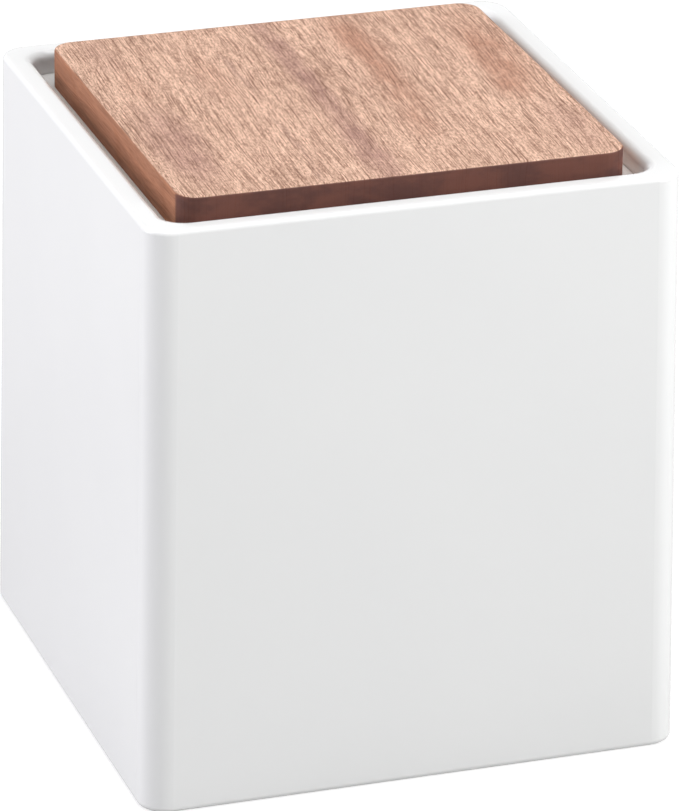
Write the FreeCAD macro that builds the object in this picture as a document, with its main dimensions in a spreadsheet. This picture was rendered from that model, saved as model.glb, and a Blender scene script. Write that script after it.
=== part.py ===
import FreeCAD, Part
import os
import Sketcher

# Square ceramic storage box with a wooden lid that pushes into its mouth on a silicone seal.
# Millimetres, +Z up. The origin is the middle of the foot, on the surface that the box stands on,
# and -Y is the front.

# Driving dimensions. Each can be set by itself.
SIZES = {
    # Ceramic box
    "rim_width": 120.0,
    "rim_depth": 120.0,
    "rim_height": 134.4,
    "foot_spread": 1.8,
    "wall": 5.85,
    "floor_thickness": 7.0,
    "outer_corner": 6.4,
    "mouth_corner": 5.0,
    "rim_outer_round": 1.0,
    "rim_inner_round": 2.0,
    "cavity_floor_round": 4.0,
    "base_round": 1.2,
    "foot_width": 6.0,
    "foot_recess": 1.5,
    "foot_corner": 4.0,
    "foot_round": 0.8,
    # Wooden lid
    "lid_gap": 3.75,
    "lid_thickness": 17.0,
    "lid_proud": 3.4,
    "lid_corner": 5.0,
    "lid_edge_round": 0.6,
    "flange_thickness": 2.7,
    "groove_height": 5.5,
    "groove_depth": 3.0,
    "neck_corner": 2.5,
    # Silicone seal
    "seal_fit": 0.1,
    "wipe_gap": 0.3,
    "lip_root": 1.4,
    "lip_tip": 0.8,
    "lip_rise": 1.0,
    "lip_spacing": 3.2,
}

# Sizes that follow from the driving dimensions. Heights on the lid and the seal are above the lid's underside.
FOLLOWING = {
    "base_width": "rim_width + 2 * foot_spread",
    "base_depth": "rim_depth + 2 * foot_spread",
    "mouth_width": "rim_width - 2 * wall",
    "mouth_depth": "rim_depth - 2 * wall",
    "floor_spread": "foot_spread * (rim_height - floor_thickness) / rim_height",
    "floor_width": "mouth_width + 2 * floor_spread",
    "floor_depth": "mouth_depth + 2 * floor_spread",
    "recess_width": "base_width - 2 * foot_width",
    "recess_depth": "base_depth - 2 * foot_width",
    "lid_width": "mouth_width - 2 * lid_gap",
    "lid_depth": "mouth_depth - 2 * lid_gap",
    "lid_foot": "rim_height + lid_proud - lid_thickness",
    "groove_top": "flange_thickness + groove_height",
    "neck_width": "lid_width - 2 * groove_depth",
    "neck_depth": "lid_depth - 2 * groove_depth",
    "band_bottom": "flange_thickness + seal_fit",
    "band_height": "groove_height - 2 * seal_fit",
    "band_inner_width": "neck_width + 2 * seal_fit",
    "band_inner_depth": "neck_depth + 2 * seal_fit",
    "band_inner_corner": "neck_corner + seal_fit",
    "lip_width": "mouth_width - 2 * wipe_gap",
    "lip_depth": "mouth_depth - 2 * wipe_gap",
    "lip_corner": "mouth_corner - wipe_gap",
    "upper_root_top": "band_bottom + band_height",
    "upper_root_bottom": "upper_root_top - lip_root",
    "upper_tip_bottom": "upper_root_bottom + lip_rise",
    "upper_tip_top": "upper_tip_bottom + lip_tip",
    "lower_root_top": "upper_root_top - lip_spacing",
    "lower_root_bottom": "upper_root_bottom - lip_spacing",
    "lower_tip_bottom": "upper_tip_bottom - lip_spacing",
    "lower_tip_top": "upper_tip_top - lip_spacing",
}

# How near an edge lies to the place it is looked for
NEAR = 0.01

doc = FreeCAD.newDocument("storage_box")
sheet = doc.addObject("Spreadsheet::Sheet", "sizes")


def fill_sheet():
    """Write the driving dimensions as plain numbers, then the sizes that follow from them."""
    cells = {name: str(size) for name, size in SIZES.items()}
    cells.update({name: "=" + formula for name, formula in FOLLOWING.items()})
    for row, (name, text) in enumerate(cells.items(), start=1):
        sheet.set(f"A{row}", name)
        sheet.set(f"B{row}", text)
        sheet.setAlias(f"B{row}", name)
    doc.recompute()


def size(name):
    """A size from the sheet, as a number."""
    return float(sheet.get(name))


def new_body(label, height=None):
    """A piece of its own, stood at a height from the sheet."""
    body = doc.addObject("PartDesign::Body", label)
    body.Label = label
    if height:
        body.setExpression(".Placement.Base.z", f"sizes.{height}")
    return body


def new_sketch(body, name, height=None):
    """A level sketch on the body's own XY plane, raised to a height from the sheet."""
    sketch = body.newObject("Sketcher::SketchObject", name)
    plane = next(item for item in body.Origin.OriginFeatures if item.Role == "XY_Plane")
    sketch.AttachmentSupport = [(plane, "")]
    sketch.MapMode = "FlatFace"
    if height:
        sketch.setExpression(".AttachmentOffset.Base.z", f"sizes.{height}")
    return sketch


def add_outline(sketch, name, width, depth, corner):
    """Draw a rectangle with rounded corners, centred on the origin, bound to sizes in the sheet."""
    half_x = size(width) / 2
    half_y = size(depth) / 2
    radius = size(corner)
    mid_x = half_x - radius
    mid_y = half_y - radius
    quarter = FreeCAD.Units.Quantity("90 deg").getValueAs("rad").Value
    up = FreeCAD.Vector(0, 0, 1)

    def side(x1, y1, x2, y2):
        return Part.LineSegment(FreeCAD.Vector(x1, y1, 0), FreeCAD.Vector(x2, y2, 0))

    def bend(x, y, quarters):
        circle = Part.Circle(FreeCAD.Vector(x, y, 0), up, radius)
        return Part.ArcOfCircle(circle, quarters * quarter, (quarters + 1) * quarter)

    first = sketch.GeometryCount
    sketch.addGeometry([
        side(-mid_x, -half_y, mid_x, -half_y),
        bend(mid_x, -mid_y, 3),
        side(half_x, -mid_y, half_x, mid_y),
        bend(mid_x, mid_y, 0),
        side(mid_x, half_y, -mid_x, half_y),
        bend(-mid_x, mid_y, 1),
        side(-half_x, mid_y, -half_x, -mid_y),
        bend(-mid_x, -mid_y, 2),
    ], False)
    front, front_right, right, back_right, back, back_left, left, front_left = range(first, first + 8)

    start, end, centre = 1, 2, 3
    origin = -1
    ring = [front, front_right, right, back_right, back, back_left, left, front_left]
    for one, other in zip(ring, ring[1:] + ring[:1]):
        sketch.addConstraint(Sketcher.Constraint("Tangent", one, end, other, start))
    for level in (front, back):
        sketch.addConstraint(Sketcher.Constraint("Horizontal", level))
    for upright in (left, right):
        sketch.addConstraint(Sketcher.Constraint("Vertical", upright))
    for arc in (back_right, back_left, front_left):
        sketch.addConstraint(Sketcher.Constraint("Equal", front_right, arc))
    sketch.addConstraint(Sketcher.Constraint("Symmetric", front_left, centre, back_right, centre, origin, start))

    sizes = (
        ("width", width, Sketcher.Constraint("DistanceX", left, start, right, start, size(width))),
        ("depth", depth, Sketcher.Constraint("DistanceY", front, start, back, start, size(depth))),
        ("corner", corner, Sketcher.Constraint("Radius", front_right, radius)),
    )
    for label, alias, constraint in sizes:
        index = sketch.addConstraint(constraint)
        sketch.renameConstraint(index, f"{name}_{label}")
        sketch.setExpression(f"Constraints.{name}_{label}", f"sizes.{alias}")


def outline(body, name, width, depth, corner, height=None):
    """A sketch of one rounded rectangle."""
    sketch = new_sketch(body, name + "_outline", height)
    add_outline(sketch, name, width, depth, corner)
    return sketch


def pad(body, name, sketch, length):
    """Raise a solid from a sketch."""
    feature = body.newObject("PartDesign::Pad", name)
    feature.Profile = sketch
    feature.setExpression("Length", f"sizes.{length}")
    return feature


def pocket(body, name, sketch, length, upward=False):
    """Cut into the body, downward from the sketch unless upward is set."""
    feature = body.newObject("PartDesign::Pocket", name)
    feature.Profile = sketch
    feature.Reversed = upward
    feature.setExpression("Length", f"sizes.{length}")
    return feature


def loft(body, kind, name, sketches):
    """Straight-sided loft through level sketches, added to the body or cut from it."""
    feature = body.newObject("PartDesign::" + kind, name)
    feature.Profile = sketches[0]
    feature.Sections = sketches[1:]
    feature.Ruled = True
    return feature


def round_outline(body, name, radius, height, width, depth):
    """Round the edges of one outline of the body so far: those at this height, on this width and depth."""
    doc.recompute()
    base = body.Tip
    level = size(height) if height else 0.0
    half_x = size(width) / 2
    half_y = size(depth) / 2
    chosen = []
    for number, edge in enumerate(base.Shape.Edges, start=1):
        bounds = edge.BoundBox
        reach_x = max(-bounds.XMin, bounds.XMax) - half_x
        reach_y = max(-bounds.YMin, bounds.YMax) - half_y
        flat = max(abs(bounds.ZMin - level), abs(bounds.ZMax - level)) < NEAR
        if flat and abs(max(reach_x, reach_y)) < NEAR:
            chosen.append(f"Edge{number}")
    feature = body.newObject("PartDesign::Fillet", name)
    feature.Base = (base, chosen)
    feature.setExpression("Radius", f"sizes.{radius}")
    return feature


def make_ceramic_box():
    """The box: walls that lean out a little toward the foot, and a recess underneath that leaves a foot ring."""
    body = new_body("ceramic_box")
    loft(body, "AdditiveLoft", "block", [
        outline(body, "base", "base_width", "base_depth", "outer_corner"),
        outline(body, "rim", "rim_width", "rim_depth", "outer_corner", "rim_height"),
    ])
    loft(body, "SubtractiveLoft", "cavity", [
        outline(body, "floor", "floor_width", "floor_depth", "mouth_corner", "floor_thickness"),
        outline(body, "mouth", "mouth_width", "mouth_depth", "mouth_corner", "rim_height"),
    ])
    recess = outline(body, "recess", "recess_width", "recess_depth", "foot_corner")
    pocket(body, "underside", recess, "foot_recess", upward=True)
    round_outline(body, "cavity_floor", "cavity_floor_round", "floor_thickness", "floor_width", "floor_depth")
    round_outline(body, "rim_outside", "rim_outer_round", "rim_height", "rim_width", "rim_depth")
    round_outline(body, "rim_inside", "rim_inner_round", "rim_height", "mouth_width", "mouth_depth")
    round_outline(body, "base_edge", "base_round", None, "base_width", "base_depth")
    round_outline(body, "foot_edge", "foot_round", None, "recess_width", "recess_depth")
    return body


def make_wooden_lid():
    """The lid: one board with a groove milled round its edge for the seal."""
    body = new_body("wooden_lid", "lid_foot")
    board = outline(body, "board", "lid_width", "lid_depth", "lid_corner")
    pad(body, "blank", board, "lid_thickness")
    ring = new_sketch(body, "groove_outline", "groove_top")
    add_outline(ring, "mill", "mouth_width", "mouth_depth", "mouth_corner")
    add_outline(ring, "neck", "neck_width", "neck_depth", "neck_corner")
    pocket(body, "seal_groove", ring, "groove_height")
    round_outline(body, "top_edge", "lid_edge_round", "lid_thickness", "lid_width", "lid_depth")
    round_outline(body, "bottom_edge", "lid_edge_round", None, "lid_width", "lid_depth")
    return body


def make_lid_seal():
    """The seal: a band that fills the groove, with two thin lips that flare up to the mouth's wall."""
    body = new_body("lid_seal", "lid_foot")

    def root(name, height):
        return outline(body, name, "lid_width", "lid_depth", "lid_corner", height)

    def tip(name, height):
        return outline(body, name, "lip_width", "lip_depth", "lip_corner", height)

    band = root("band", "band_bottom")
    for lip in ("lower", "upper"):
        loft(body, "AdditiveLoft", lip + "_lip", [
            root(lip + "_root_underside", lip + "_root_bottom"),
            tip(lip + "_tip_underside", lip + "_tip_bottom"),
            tip(lip + "_tip_end", lip + "_tip_top"),
        ])
        loft(body, "SubtractiveLoft", lip + "_lip_dish", [
            root(lip + "_root", lip + "_root_top"),
            tip(lip + "_tip", lip + "_tip_top"),
        ])
        if lip == "lower":
            pad(body, "band", band, "band_height")
    inside = outline(body, "inside", "band_inner_width", "band_inner_depth", "band_inner_corner", "lid_thickness")
    pocket(body, "opening", inside, "lid_thickness")
    return body


def check(pieces):
    """Stop if any feature failed, or a piece isn't one valid solid."""
    doc.recompute()
    for item in doc.Objects:
        if "Invalid" in item.State or "Error" in item.State:
            raise RuntimeError(f"{item.Name} failed: {item.State}")
    for piece in pieces:
        shape = piece.Shape
        if shape.isNull() or not shape.isValid() or len(shape.Solids) != 1:
            raise RuntimeError(f"{piece.Label} is not one valid solid")
        print(piece.Label, round(shape.Volume), "mm3", shape.BoundBox)


fill_sheet()
pieces = [make_ceramic_box(), make_wooden_lid(), make_lid_seal()]
check(pieces)
os.makedirs("parts", exist_ok=True)
for piece in pieces:
    piece.Shape.exportStep(f"parts/{piece.Label}.step")
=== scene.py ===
import math

import bmesh
import bpy
from mathutils import Matrix, Vector


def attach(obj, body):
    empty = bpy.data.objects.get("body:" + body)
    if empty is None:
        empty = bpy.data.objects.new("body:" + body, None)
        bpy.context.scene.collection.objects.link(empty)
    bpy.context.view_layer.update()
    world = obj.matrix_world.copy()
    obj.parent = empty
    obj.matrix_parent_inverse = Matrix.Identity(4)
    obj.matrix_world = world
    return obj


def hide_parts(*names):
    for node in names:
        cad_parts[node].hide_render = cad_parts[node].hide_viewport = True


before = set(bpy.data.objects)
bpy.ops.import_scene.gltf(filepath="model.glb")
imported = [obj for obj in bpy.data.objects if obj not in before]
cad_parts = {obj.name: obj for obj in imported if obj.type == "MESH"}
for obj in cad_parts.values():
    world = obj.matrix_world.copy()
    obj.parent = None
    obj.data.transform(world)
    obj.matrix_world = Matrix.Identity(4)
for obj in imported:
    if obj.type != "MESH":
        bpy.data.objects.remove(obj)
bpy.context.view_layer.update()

# White ceramic storage box with a wooden lid on a silicone seal.
# Metres, +Z up, -Y is the front. The origin is the middle of the foot, on the floor.

MM = 0.001

# Camera: where it looks from, in degrees, and how far off, in metres
VIEW_TURN = -18.550
VIEW_RISE = 23.107
VIEW_TILT = 0.633
VIEW_DISTANCE = 1.35290
VIEW_AIM = Vector((0.0, 0.0, 0.06))
VIEW_SLIDE = (0.00219, 0.00360)
LENS = 267.78
SENSOR = 36.0
NEAREST_SEEN = 0.01
FARTHEST_SEEN = 20.0

# Silicone seal, in millimetres: outlines are half a width and a corner radius
LID_UNDERSIDE = 120.8
BAND_INSIDE = (47.5, 2.6)
BAND_OUTSIDE = (50.4, 5.0)
LIP_TIP = (54.11, 4.96)

# The seal's section: lines round the ring, each with its height above the lid's underside
SEAL_SECTION = (
    (BAND_INSIDE, 2.8), (BAND_OUTSIDE, 2.8),
    (BAND_OUTSIDE, 3.5), (LIP_TIP, 4.5), (LIP_TIP, 5.3), (BAND_OUTSIDE, 4.9),
    (BAND_OUTSIDE, 6.7), (LIP_TIP, 7.7), (LIP_TIP, 8.5), (BAND_OUTSIDE, 8.1),
    (BAND_INSIDE, 8.1),
)
CORNER_STEPS = 8
LINE_NEAR = 0.02

# Rounding of the lips, in millimetres; angles in degrees above which an edge is rounded, and is sharp
LIP_ROUND = 0.12
LIP_STEPS = 3
ROUND_ABOVE = 30
SHARP_ABOVE = 40

# Glaze and bare clay: two tones each; painted shade: how much of its tone the glaze has at the foot and
# the rim
GLAZE_TONES = ((0.815, 0.820, 0.818, 1.0), (0.845, 0.848, 0.842, 1.0))
CLAY_TONES = ((0.56, 0.49, 0.40, 1.0), (0.78, 0.72, 0.63, 1.0))
GLAZE_SHADED_AT_FOOT = 0.955
GLAZE_LIT_AT_RIM = 1.02
RIM_HEIGHT = 134.0

# Where the glaze ends above the floor, in millimetres: lowest, how far it wavers, and its soft edge
GLAZE_LINE = -0.05
GLAZE_LINE_WAVER = 0.2
GLAZE_LINE_EDGE = (-0.15, 0.2)

# Bare clay: specks in a millimetre, how much rougher it is than the glaze, and how gritty
CLAY_SPECKS = 2.2
CLAY_ROUGHER = 0.75
CLAY_GRIT = 0.8

# Silicone: its two cloudy tones
SILICONE_TONES = ((0.83, 0.82, 0.80, 1.0), (0.89, 0.88, 0.86, 1.0))

# Unevenness, in millimetres: size of the slow drift of tone and of the waves in the skin
GLAZE_DRIFT = 45.0
GLAZE_WAVES = 16.0
SILICONE_DRIFT = 9.0
SILICONE_WAVES = 1.4

# Skins: depth of the relief, in millimetres, and how strongly it shows
GLAZE_SKIN = 0.06
GLAZE_SKIN_SHOWS = 0.25
WOOD_SKIN = 0.05
WOOD_SKIN_SHOWS = 0.4
SILICONE_SKIN = 0.05
SILICONE_SKIN_SHOWS = 0.2

# Gloss: roughness from the smoothest spots to the dullest, and how strongly each surface mirrors
GLAZE_ROUGHNESS = (0.07, 0.12)
WOOD_ROUGHNESS = (0.60, 0.70)
PORES_ROUGHER = 0.2
SILICONE_ROUGHNESS = (0.38, 0.5)
GLAZE_INDEX = 1.5
SILICONE_INDEX = 1.41
WOOD_MIRRORS = 0.3

# The part of soft noise's range, 0 to 1, that most of it lies in
NOISE_MIDDLE = (0.3, 0.7)

# Wood: which way the grain runs on the board, in degrees from front to back
GRAIN_TURN = 2.4

# Sizes of the wood's lines, in millimetres, across and along the grain
MOTTLE_SIZE = (4, 10)
BAND_SIZE = (3.6, 70)
STREAK_SIZE = (1.2, 30)
FIBRE_SIZE = (0.3, 9)
FLECK_SIZE = (0.3, 1.1)
GROWTH_LINE_SIZE = (1.2, 40)

# Bends of the grain: waves per millimetre across, along and down, and their sideways push in millimetres
RAGGED = ((1 / 4, 1 / 7, 1 / 4), 2.2)
RIPPLE = ((1 / 5, 1 / 9, 1 / 5), 0.4)
SLOW_BEND = ((1 / 22, 1 / 48, 1 / 22), 3.5)

# Wood tones, from the wood's light lines to its dark ones
FLAT_TONES = ((0.935, 0.625, 0.468, 1.0), (0.280, 0.145, 0.095, 1.0))
SIDE_TONES = ((0.450, 0.203, 0.114, 1.0), (0.230, 0.097, 0.053, 1.0))
BROWN_TONES = ((0.530, 0.243, 0.151, 1.0), (0.260, 0.117, 0.073, 1.0))
GREY_TONES = ((0.470, 0.251, 0.205, 1.0), (0.230, 0.121, 0.099, 1.0))
STREAK_TONES = ((0.325, 0.177, 0.140, 1.0), (0.175, 0.095, 0.076, 1.0))
PORE_TONE = (0.200, 0.098, 0.064, 1.0)

# End grain tones, from the most soaked wood to the least
END_TONES = ((0.099, 0.040, 0.032, 1.0), (0.148, 0.056, 0.040, 1.0))

# How much each kind of line adds to the tone of the flat wood, and the range that is spread over its tones
STREAK_SHARE = 0.6
BAND_SHARE = 0.6
FIBRE_SHARE = 1.9
FLECK_SHARE = 1.9
TONE_RANGE = (1.86, 3.12)

# How strongly ribbons and pores cover the wood, and where each is full, as a share of its half size;
# a pore also ends early, and its depth is left to chance
RIBBON_COVER = 0.75
RIBBON_CORE = 0.2
STREAK_CORE = 0.0
PORE_COVER = 0.95
PORE_CORE = 0.03
PORE_END = 0.17
PORE_DEPTHS = (0.3, 1.0)

# Sides: how much growth lines and fibres add to the tone, and the range spread over the side's tones
GROWTH_LINE_SHARE = 0.8
SIDE_FIBRE_SHARE = 0.9
SIDE_RANGE = (0.55, 1.15)

# How far the surface turns to a side, an end or the top, from where its finish starts to where it is full
SIDE_FACING = (0.35, 0.75)
END_FACING = (0.12, 0.34)
TOP_FACING = (0.45, 0.75)

# Figure of the board, in millimetres: middle across and along, half sizes across and along, depth
GREY_RIBBONS = (
    (-2.0, 30.0, 4.5, 46.0, 0.85),
    (-2.5, -10.0, 5.0, 40.0, 0.70),
    (-3.5, -40.0, 6.5, 28.0, 0.80),
    (-41.5, -20.0, 9.0, 34.0, 0.90),
    (44.0, -32.0, 8.0, 24.0, 0.45),
    (-42.0, 38.0, 6.0, 16.0, 0.35),
)
BROWN_RIBBONS = (
    (16.0, 28.0, 7.0, 32.0, 0.90),
    (15.0, -2.0, 6.5, 26.0, 0.60),
    (12.0, -22.0, 5.0, 14.0, 0.50),
    (42.5, 16.0, 8.5, 34.0, 0.95),
    (39.0, -6.0, 5.0, 14.0, 0.60),
    (-22.0, 18.0, 5.0, 22.0, 0.30),
    (-40.0, 18.0, 3.5, 14.0, 0.35),
)
DARK_STREAKS = (
    (-15.8, 20.0, 1.3, 22.0, 0.65),
    (-17.0, -22.0, 1.1, 26.0, 0.55),
    (-18.2, -45.0, 1.5, 12.0, 0.55),
    (-36.4, -14.0, 0.6, 32.0, 0.55),
)
# Open pores, in millimetres: spacing across and along the grain, and a shift for each layer
PORE_LAYERS = (
    (1.05, 42.0, 3.1),
    (0.90, 34.0, 17.3),
    (1.25, 52.0, 41.7),
    (0.80, 26.0, 63.1),
    (1.00, 20.0, 87.9),
)

# Studio: the room as light; the floor's size in metres, its tone, its lift to white, and how much of
# that lift shows in gloss
WHITE = (1.0, 1.0, 1.0, 1.0)
ROOM_LIGHT = 0.19
FLOOR_SIZE = 30.0
FLOOR_TONE = 0.48
FLOOR_LIFT = 0.62
FLOOR_MIRRORED = 0.4

# Soft lamps: place and aim in metres, side in metres, watts, tint
SOFTBOXES = (
    ("softbox_left", (-2.14, 0.36, 0.86), (0.0, 0.0, 0.07), 1.6, 45.5, (0.965, 0.955, 1.0)),
    ("softbox_front_right", (1.22, -1.20, 0.86), (0.0, 0.0, 0.07), 1.1, 31.6, (1.0, 1.0, 1.0)),
    ("softbox_above", (0.0, 0.1, 2.4), (0.0, 0.0, 0.1), 1.6, 25.0, (1.0, 1.0, 1.0)),
)


def place_camera():
    """Camera at the photograph's viewing angle."""
    turn = math.radians(VIEW_TURN)
    rise = math.radians(VIEW_RISE)
    tilt = math.radians(VIEW_TILT)
    back = Vector((math.sin(turn) * math.cos(rise), -math.cos(turn) * math.cos(rise), math.sin(rise)))
    level = Vector((math.cos(turn), math.sin(turn), 0.0))
    upright = back.cross(level)
    right = math.cos(tilt) * level + math.sin(tilt) * upright
    up = -math.sin(tilt) * level + math.cos(tilt) * upright
    place = VIEW_AIM + back * VIEW_DISTANCE + right * VIEW_SLIDE[0] + up * VIEW_SLIDE[1]
    lens = bpy.data.cameras.new("photo_camera")
    lens.lens = LENS
    lens.sensor_width = SENSOR
    lens.clip_start = NEAREST_SEEN
    lens.clip_end = FARTHEST_SEEN
    camera = bpy.data.objects.new("photo_camera", lens)
    bpy.context.scene.collection.objects.link(camera)
    camera.matrix_world = Matrix((
        (right.x, up.x, back.x, place.x),
        (right.y, up.y, back.y, place.y),
        (right.z, up.z, back.z, place.z),
        (0.0, 0.0, 0.0, 1.0),
    ))
    bpy.context.scene.camera = camera


def add_node(tree, kind, label, **settings):
    """A node of one kind in a node tree, with its plain settings."""
    node = tree.nodes.new(kind)
    node.label = label
    for name, value in settings.items():
        setattr(node, name, value)
    return node


def feed(tree, node, **inputs):
    """Set a node's inputs by name: a socket is linked to, a plain value is written in."""
    for name, value in inputs.items():
        socket = node.inputs[int(name[1:]) if name[1:].isdigit() else name.replace("_", " ")]
        if isinstance(value, bpy.types.NodeSocket):
            tree.links.new(value, socket)
        else:
            socket.default_value = value


def sums(tree, label, operation, first, second=None, third=None, clamp=False):
    """A Math node's result."""
    node = add_node(tree, "ShaderNodeMath", label, operation=operation, use_clamp=clamp)
    feed(tree, node, _0=first)
    if second is not None:
        feed(tree, node, _1=second)
    if third is not None:
        feed(tree, node, _2=third)
    return node.outputs["Value"]


def ramp(tree, label, value, low, high, to_low=0.0, to_high=1.0, soft=True):
    """A value spread from one range to another, kept inside it."""
    node = add_node(tree, "ShaderNodeMapRange", label)
    node.interpolation_type = "SMOOTHSTEP" if soft else "LINEAR"
    node.clamp = True
    feed(tree, node, Value=value, From_Min=low, From_Max=high, To_Min=to_low, To_Max=to_high)
    return node.outputs["Result"]


def mixed(tree, label, factor, first, second, blend="MIX"):
    """Two colours mixed by a factor."""
    node = add_node(tree, "ShaderNodeMix", label, data_type="RGBA", blend_type=blend)
    feed(tree, node, _0=factor, _6=first, _7=second)
    return node.outputs[2]


def scaled(tree, label, vector, scale, place=(0.0, 0.0, 0.0), turn=0.0):
    """Coordinates stretched, turned about the upright axis and shifted by a Mapping node."""
    node = add_node(tree, "ShaderNodeMapping", label)
    feed(tree, node, Vector=vector, Scale=scale, Location=place, Rotation=(0.0, 0.0, math.radians(turn)))
    return node.outputs["Vector"]


def clouds(tree, label, vector, detail=2.0, rough=0.5):
    """Soft noise, from 0 to 1, one feature per unit."""
    node = add_node(tree, "ShaderNodeTexNoise", label)
    feed(tree, node, Vector=vector, Scale=1.0, Detail=detail, Roughness=rough)
    return node.outputs["Fac"]


def new_material(name):
    """An empty node material with its output node."""
    material = bpy.data.materials.new(name)
    material.use_nodes = True
    tree = material.node_tree
    tree.nodes.clear()
    output = add_node(tree, "ShaderNodeOutputMaterial", "surface")
    return material, tree, output


def millimetres(tree):
    """Object coordinates in millimetres, and the surface's own normal."""
    coordinates = add_node(tree, "ShaderNodeTexCoord", "place on the piece")
    per_metre = 1 / MM
    place = scaled(tree, "millimetres", coordinates.outputs["Object"], (per_metre, per_metre, per_metre))
    return place, coordinates.outputs["Normal"]


def build_unevenness():
    """Shared by fired and moulded surfaces: slow tone drift and a slightly wavy skin."""
    group = bpy.data.node_groups.new("surface_unevenness", "ShaderNodeTree")
    sockets = group.interface
    sockets.new_socket("Place", in_out="INPUT", socket_type="NodeSocketVector")
    sockets.new_socket("Drift Size", in_out="INPUT", socket_type="NodeSocketFloat")
    sockets.new_socket("Skin Size", in_out="INPUT", socket_type="NodeSocketFloat")
    sockets.new_socket("Drift", in_out="OUTPUT", socket_type="NodeSocketFloat")
    sockets.new_socket("Skin", in_out="OUTPUT", socket_type="NodeSocketFloat")
    inputs = group.nodes.new("NodeGroupInput")
    outputs = group.nodes.new("NodeGroupOutput")

    def sized(label, size, detail):
        shrink = add_node(group, "ShaderNodeVectorMath", label, operation="SCALE")
        per_feature = sums(group, label, "DIVIDE", 1.0, inputs.outputs[size])
        feed(group, shrink, _0=inputs.outputs["Place"], Scale=per_feature)
        return clouds(group, label, shrink.outputs["Vector"], detail)

    group.links.new(sized("slow drift", "Drift Size", 2.0), outputs.inputs["Drift"])
    group.links.new(sized("wavy skin", "Skin Size", 1.0), outputs.inputs["Skin"])
    return group


def use_group(tree, group, label, **inputs):
    """Place a shared node group in a material."""
    node = add_node(tree, "ShaderNodeGroup", label, node_tree=group)
    feed(tree, node, **inputs)
    return node


def make_white_glaze(unevenness):
    """Glossy white glaze with painted shade toward the foot, over pale clay left bare on the ring that the
    box stands on.
    """
    material, tree, output = new_material("white_glaze")
    place, _ = millimetres(tree)
    height = add_node(tree, "ShaderNodeSeparateXYZ", "height")
    feed(tree, height, Vector=place)
    uneven = use_group(
        tree, unevenness, "glaze unevenness", Place=place, Drift_Size=GLAZE_DRIFT, Skin_Size=GLAZE_WAVES)
    drift = uneven.outputs["Drift"]
    specks = scaled(tree, "clay speckle", place, (CLAY_SPECKS, CLAY_SPECKS, CLAY_SPECKS))
    speckle = clouds(tree, "clay speckle", specks, 3.0, 0.7)
    glaze_line = sums(tree, "wavering glaze line", "MULTIPLY_ADD", drift, GLAZE_LINE_WAVER, GLAZE_LINE)
    above = sums(tree, "above the line", "SUBTRACT", height.outputs["Z"], glaze_line)
    glazed = ramp(tree, "glaze starts", above, *GLAZE_LINE_EDGE)
    bare = sums(tree, "bare clay", "SUBTRACT", 1.0, glazed)
    glaze = mixed(tree, "glaze tone", drift, *GLAZE_TONES)
    clay = mixed(tree, "clay tone", speckle, *CLAY_TONES)
    # Painted shade: the glaze is darkened toward the foot and lightened toward the rim, in place of the
    # light's falloff down the walls
    painted_foot_shade = ramp(
        tree, "painted shade toward the foot", height.outputs["Z"], 0.0, RIM_HEIGHT, GLAZE_SHADED_AT_FOOT, GLAZE_LIT_AT_RIM,
        soft=False)
    glaze = mixed(tree, "painted shade toward the foot", 1.0, glaze, painted_foot_shade, "MULTIPLY")
    colour = mixed(tree, "glaze or clay", bare, glaze, clay)
    gloss = ramp(tree, "glaze gloss", drift, *NOISE_MIDDLE, *GLAZE_ROUGHNESS)
    roughness = sums(tree, "bare clay is dull", "MULTIPLY_ADD", bare, CLAY_ROUGHER, gloss)
    grit = sums(tree, "grit on clay", "MULTIPLY", speckle, bare)
    skin = sums(tree, "clay grit", "MULTIPLY_ADD", grit, CLAY_GRIT, uneven.outputs["Skin"])
    bump = add_node(tree, "ShaderNodeBump", "glaze skin")
    feed(tree, bump, Height=skin, Strength=GLAZE_SKIN_SHOWS, Distance=GLAZE_SKIN * MM)
    surface = add_node(tree, "ShaderNodeBsdfPrincipled", "white glaze")
    feed(tree, surface, Base_Color=colour, Roughness=roughness, IOR=GLAZE_INDEX)
    feed(tree, surface, Normal=bump.outputs["Normal"])
    tree.links.new(surface.outputs["BSDF"], output.inputs["Surface"])
    return material


def patches(tree, label, place, shapes, edge):
    """Soft long patches at set places on the board, added up."""
    total = 0.0
    for across, along, half_across, half_along, depth in shapes:
        middle = (-across / half_across, -along / half_along, 0.0)
        local = scaled(tree, label, place, (1 / half_across, 1 / half_along, 0.0), middle)
        away = add_node(tree, "ShaderNodeVectorMath", label, operation="LENGTH")
        feed(tree, away, _0=local)
        patch = ramp(tree, label, away.outputs["Value"], edge, 1.0, depth, 0.0)
        total = sums(tree, label, "ADD", patch, total)
    return total


def dashes(tree, label, place, layers):
    """Thin dark dashes along the grain, at random places and of random depth."""
    total = 0.0
    for across, along, shift in layers:
        cells = add_node(tree, "ShaderNodeTexVoronoi", label, voronoi_dimensions="2D")
        local = scaled(tree, label, place, (1 / across, 1 / along, 0.0), (shift, shift, 0.0))
        feed(tree, cells, Vector=local, Scale=1.0)
        chance = add_node(tree, "ShaderNodeSeparateColor", label)
        feed(tree, chance, Color=cells.outputs["Color"])
        depth = ramp(tree, label, chance.outputs["Red"], 0.0, 1.0, *PORE_DEPTHS)
        dash = ramp(tree, label, cells.outputs["Distance"], PORE_CORE, PORE_END, 1.0, 0.0)
        dash = sums(tree, label, "MULTIPLY", dash, depth)
        total = sums(tree, label, "MAXIMUM", dash, total)
    return total


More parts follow.
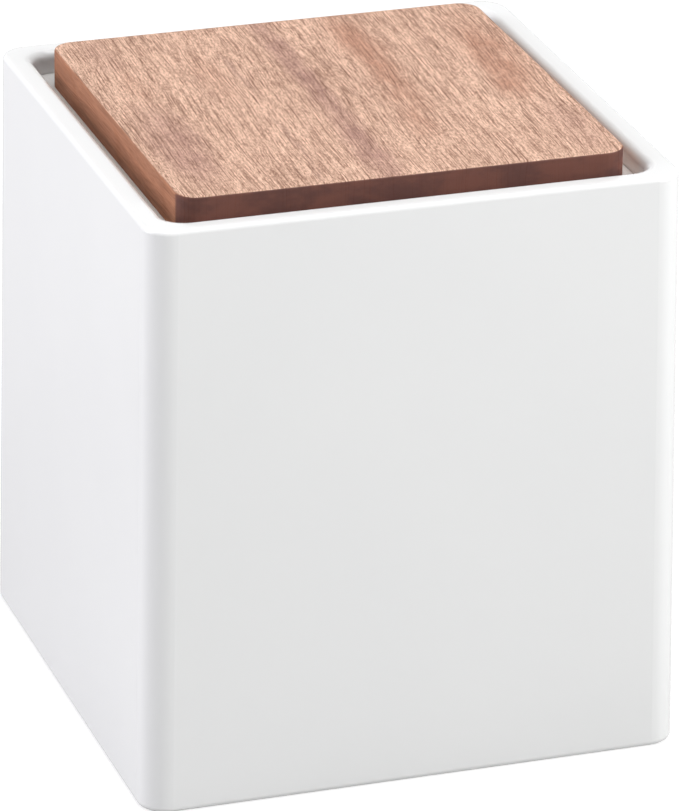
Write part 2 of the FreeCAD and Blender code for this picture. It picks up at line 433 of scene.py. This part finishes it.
def make_board_wood():
    """Oiled reddish-brown board: ribbons, streaks along the grain, open pores and dark end grain."""
    material, tree, output = new_material("lid_wood")
    place, normal = millimetres(tree)
    board = scaled(tree, "turned to the grain", place, (1.0, 1.0, 1.0), turn=GRAIN_TURN)

    def wavered(label, start, size, reach):
        """Coordinates pushed sideways by soft noise."""
        bend = add_node(tree, "ShaderNodeTexNoise", label)
        feed(tree, bend, Vector=scaled(tree, label, board, size), Scale=1.0, Detail=1.0)
        sideways = add_node(tree, "ShaderNodeVectorMath", label, operation="MULTIPLY_ADD")
        middle = -reach / 2
        feed(tree, sideways, _0=bend.outputs["Color"], _1=(reach, 0.0, reach), _2=(middle, 0.0, middle))
        moved = add_node(tree, "ShaderNodeVectorMath", label, operation="ADD")
        feed(tree, moved, _0=start, _1=sideways.outputs["Vector"])
        return moved.outputs["Vector"]

    def stretched(label, start, size, detail, rough, shift=(0.0, 0.0, 0.0)):
        """Soft noise drawn out along the grain: size across and along, in millimetres."""
        across, along = size
        drawn_out = scaled(tree, label, start, (1 / across, 1 / along, 1 / across), shift)
        return clouds(tree, label, drawn_out, detail, rough)

    # The figure has ragged edges; the grain ripples a little, and bends slowly
    figure = wavered("ragged figure", place, *RAGGED)
    rippled = wavered("ripple", board, *RIPPLE)
    lines = wavered("slow bend", rippled, *SLOW_BEND)

    mottle = stretched("mottle", lines, MOTTLE_SIZE, 3.0, 0.6)
    bands = stretched("bands", lines, BAND_SIZE, 2.0, 0.5, (3.7, 0.4, 1.9))
    streaks = stretched("streaks", lines, STREAK_SIZE, 2.0, 0.6, (0.6, 7.1, 0.0))
    fibres = stretched("fibres", lines, FIBRE_SIZE, 2.0, 0.65)
    flecks = stretched("flecks", rippled, FLECK_SIZE, 1.0, 0.5)
    pores = dashes(tree, "open pores", lines, PORE_LAYERS)

    # Light peach wood, browner in bands and streaks, with red-brown and grey-brown ribbons
    tone = sums(tree, "streaks", "MULTIPLY", streaks, STREAK_SHARE)
    tone = sums(tree, "bands and streaks", "MULTIPLY_ADD", bands, BAND_SHARE, tone)
    tone = sums(tree, "fibres", "MULTIPLY_ADD", fibres, FIBRE_SHARE, tone)
    tone = sums(tree, "flecks", "MULTIPLY_ADD", flecks, FLECK_SHARE, tone)
    tone = ramp(tree, "light to middle wood", tone, *TONE_RANGE, soft=False)
    flat = mixed(tree, "flat wood", tone, *FLAT_TONES)
    broken = ramp(tree, "broken ribbons", mottle, 0.30, 0.62, 0.5, 1.0)
    for label, shapes, edge, tones in (
        ("brown ribbon", BROWN_RIBBONS, RIBBON_CORE, BROWN_TONES),
        ("grey ribbon", GREY_RIBBONS, RIBBON_CORE, GREY_TONES),
        ("dark streak", DARK_STREAKS, STREAK_CORE, STREAK_TONES),
    ):
        tint = mixed(tree, label, tone, *tones)
        depth = sums(tree, label, "MULTIPLY", patches(tree, label, figure, shapes, edge), broken)
        cover = sums(tree, label, "MULTIPLY", depth, RIBBON_COVER, clamp=True)
        flat = mixed(tree, label, cover, flat, tint)
    cover = sums(tree, "pore depth", "MULTIPLY", pores, PORE_COVER)
    flat = mixed(tree, "pores darken", cover, flat, PORE_TONE)

    # Along the sides the growth lines show as streaks, and the wood is deeper and redder
    facing = add_node(tree, "ShaderNodeSeparateXYZ", "which way the surface faces")
    feed(tree, facing, Vector=normal)
    layers = stretched("growth lines", lines, GROWTH_LINE_SIZE, 2.0, 0.6, (0.0, 3.3, 5.7))
    side_tone = sums(tree, "side fibres", "MULTIPLY", fibres, SIDE_FIBRE_SHARE)
    side_tone = sums(tree, "side tone", "MULTIPLY_ADD", layers, GROWTH_LINE_SHARE, side_tone)
    side_tone = ramp(tree, "side tone", side_tone, *SIDE_RANGE, soft=False)
    side = mixed(tree, "side wood", side_tone, *SIDE_TONES)
    sideways = sums(tree, "facing sideways", "ABSOLUTE", facing.outputs["X"])
    beside = ramp(tree, "side", sideways, *SIDE_FACING)
    wood = mixed(tree, "flat or side", beside, flat, side)

    # End grain soaks up the oil and is far darker
    soak = clouds(
        tree, "soaked patches", scaled(tree, "soaked patches", place, (1 / 9, 1 / 9, 1 / 5)), 3.0, 0.6)
    soak = ramp(tree, "soaked patches", soak, 0.35, 0.65)
    soaked = mixed(tree, "soaked wood", soak, *END_TONES)
    endways = sums(tree, "facing the ends", "ABSOLUTE", facing.outputs["Y"])
    end = ramp(tree, "end grain", endways, *END_FACING)
    below = ramp(tree, "below the top edge", facing.outputs["Z"], *TOP_FACING, 1.0, 0.0)
    end = sums(tree, "below the top edge", "MULTIPLY", end, below)
    colour = mixed(tree, "side or end", end, wood, soaked)

    satin = ramp(tree, "oiled satin", fibres, *NOISE_MIDDLE, *WOOD_ROUGHNESS)
    roughness = sums(tree, "dull pores", "MULTIPLY_ADD", pores, PORES_ROUGHER, satin)
    relief = sums(tree, "fibre relief", "MULTIPLY", fibres, 0.35)
    relief = sums(tree, "open relief", "SUBTRACT", relief, pores)
    bump = add_node(tree, "ShaderNodeBump", "open grain")
    feed(tree, bump, Height=relief, Strength=WOOD_SKIN_SHOWS, Distance=WOOD_SKIN * MM)
    surface = add_node(tree, "ShaderNodeBsdfPrincipled", "oiled wood")
    feed(tree, surface, Base_Color=colour, Roughness=roughness, Specular_IOR_Level=WOOD_MIRRORS)
    feed(tree, surface, Normal=bump.outputs["Normal"])
    tree.links.new(surface.outputs["BSDF"], output.inputs["Surface"])
    return material


def make_seal_silicone(unevenness):
    """Pale satin silicone with the faint cloudiness of a moulded ring."""
    material, tree, output = new_material("seal_silicone")
    place, _ = millimetres(tree)
    uneven = use_group(
        tree, unevenness, "silicone unevenness", Place=place, Drift_Size=SILICONE_DRIFT,
        Skin_Size=SILICONE_WAVES)
    skin = uneven.outputs["Skin"]
    colour = mixed(tree, "cloudy silicone", uneven.outputs["Drift"], *SILICONE_TONES)
    roughness = ramp(tree, "satin", skin, *NOISE_MIDDLE, *SILICONE_ROUGHNESS)
    bump = add_node(tree, "ShaderNodeBump", "moulded skin")
    feed(tree, bump, Height=skin, Strength=SILICONE_SKIN_SHOWS, Distance=SILICONE_SKIN * MM)
    surface = add_node(tree, "ShaderNodeBsdfPrincipled", "silicone")
    feed(tree, surface, Base_Color=colour, Roughness=roughness, IOR=SILICONE_INDEX)
    feed(tree, surface, Normal=bump.outputs["Normal"])
    tree.links.new(surface.outputs["BSDF"], output.inputs["Surface"])
    return material


def draw_ring_line(outline, height):
    """One line round the ring: a square with rounded corners, at a height above the lid's underside."""
    half, corner = outline
    bpy.ops.mesh.select_all(action="DESELECT")
    level = (LID_UNDERSIDE + height) * MM
    bpy.ops.mesh.primitive_plane_add(size=2 * half * MM, location=(0.0, 0.0, level))
    bpy.ops.mesh.bevel(
        offset=corner * MM, offset_type="OFFSET", segments=CORNER_STEPS, affect="VERTICES")
    bpy.ops.mesh.delete(type="ONLY_FACE")


def pick_ring_line(mesh, outline, height):
    """Select the edges of one line by its place."""
    half, corner = outline
    level = (LID_UNDERSIDE + height) * MM
    near = LINE_NEAR * MM

    def on_line(point):
        reach = max(abs(point.x), abs(point.y))
        nearest = (half - 0.3 * corner) * MM - near
        return abs(point.z - level) < near and nearest < reach < half * MM + near

    for edge in mesh.edges:
        if all(on_line(vertex.co) for vertex in edge.verts):
            edge.select_set(True)


def model_lid_seal():
    """The ring: a band that sits in the lid's groove, with two lips that flare up to the mouth's wall."""
    bpy.ops.object.select_all(action="DESELECT")
    bpy.ops.mesh.primitive_plane_add(size=0.01)
    ring = bpy.context.active_object
    ring.name = "silicone_seal_ring"
    ring.data.name = "silicone_seal_ring"
    bpy.ops.object.mode_set(mode="EDIT")
    bpy.ops.mesh.delete(type="VERT")
    for outline, height in SEAL_SECTION:
        draw_ring_line(outline, height)
    bpy.ops.mesh.select_mode(type="EDGE")
    for first, second in zip(SEAL_SECTION, SEAL_SECTION[1:] + SEAL_SECTION[:1]):
        bpy.ops.mesh.select_all(action="DESELECT")
        mesh = bmesh.from_edit_mesh(ring.data)
        pick_ring_line(mesh, *first)
        pick_ring_line(mesh, *second)
        bmesh.update_edit_mesh(ring.data)
        bpy.ops.mesh.bridge_edge_loops()
    bpy.ops.mesh.select_all(action="SELECT")
    bpy.ops.mesh.normals_make_consistent(inside=False)
    bpy.ops.object.mode_set(mode="OBJECT")
    rounding = ring.modifiers.new("rounded lips", "BEVEL")
    rounding.width = LIP_ROUND * MM
    rounding.segments = LIP_STEPS
    rounding.limit_method = "ANGLE"
    rounding.angle_limit = math.radians(ROUND_ABOVE)
    bpy.ops.object.modifier_apply(modifier=rounding.name)
    bpy.ops.object.shade_smooth_by_angle(angle=math.radians(SHARP_ABOVE))
    return ring


def lay_floor():
    """A plain pale floor: white where it is lit, with the box's own soft shadow."""
    bpy.ops.object.select_all(action="DESELECT")
    bpy.ops.mesh.primitive_plane_add(size=FLOOR_SIZE)
    floor = bpy.context.active_object
    floor.name = "studio_floor"
    material, tree, output = new_material("studio_floor")
    path = add_node(tree, "ShaderNodeLightPath", "what sees the floor")
    mirrored = sums(tree, "seen mirrored", "MULTIPLY", path.outputs["Is Glossy Ray"], FLOOR_MIRRORED)
    seen = sums(tree, "seen", "MAXIMUM", path.outputs["Is Camera Ray"], mirrored)
    seen = sums(tree, "seen", "MAXIMUM", seen, path.outputs["Is Transmission Ray"])
    matt = add_node(tree, "ShaderNodeBsdfDiffuse", "pale floor")
    feed(tree, matt, Color=(FLOOR_TONE, FLOOR_TONE, FLOOR_TONE, 1.0))
    white = add_node(tree, "ShaderNodeEmission", "white floor")
    lift = sums(tree, "lift to white", "MULTIPLY", seen, FLOOR_LIFT)
    feed(tree, white, Color=WHITE, Strength=lift)
    both = add_node(tree, "ShaderNodeAddShader", "white floor with shadow")
    feed(tree, both, _0=matt.outputs["BSDF"], _1=white.outputs["Emission"])
    tree.links.new(both.outputs["Shader"], output.inputs["Surface"])
    floor.data.materials.append(material)


def light_room():
    """White surroundings, softer as light than as a background."""
    world = bpy.data.worlds.new("studio_room")
    world.use_nodes = True
    tree = world.node_tree
    tree.nodes.clear()
    output = add_node(tree, "ShaderNodeOutputWorld", "room")
    path = add_node(tree, "ShaderNodeLightPath", "what sees the room")
    seen = sums(tree, "seen", "MAXIMUM", path.outputs["Is Camera Ray"], path.outputs["Is Glossy Ray"])
    seen = sums(tree, "seen", "MAXIMUM", seen, path.outputs["Is Transmission Ray"])
    room = add_node(tree, "ShaderNodeBackground", "white room")
    strength = ramp(tree, "room strength", seen, 0.0, 1.0, ROOM_LIGHT, 1.0, soft=False)
    feed(tree, room, Color=WHITE, Strength=strength)
    tree.links.new(room.outputs["Background"], output.inputs["Surface"])
    bpy.context.scene.world = world


def hang_softbox(name, place, aim, side, watts, colour):
    """A large square soft lamp that faces a point."""
    lamp = bpy.data.lights.new(name, "AREA")
    lamp.shape = "SQUARE"
    lamp.size = side
    lamp.energy = watts
    lamp.color = colour
    holder = bpy.data.objects.new(name, lamp)
    bpy.context.scene.collection.objects.link(holder)
    holder.location = place
    holder.rotation_mode = "QUATERNION"
    holder.rotation_quaternion = (Vector(aim) - Vector(place)).to_track_quat("-Z", "Y")


def give_finish(piece, material):
    """One finish all over a piece."""
    for slot in piece.material_slots:
        slot.material = material
    if not piece.material_slots:
        piece.data.materials.append(material)


place_camera()
light_room()
lay_floor()
for softbox in SOFTBOXES:
    hang_softbox(*softbox)

unevenness = build_unevenness()
silicone = make_seal_silicone(unevenness)
give_finish(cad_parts["ceramic_box"], make_white_glaze(unevenness))
give_finish(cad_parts["wooden_lid"], make_board_wood())

seal_ring = model_lid_seal()
give_finish(seal_ring, silicone)
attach(seal_ring, "lid")
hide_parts("lid_seal")

bpy.context.scene.view_settings.view_transform = "Standard"
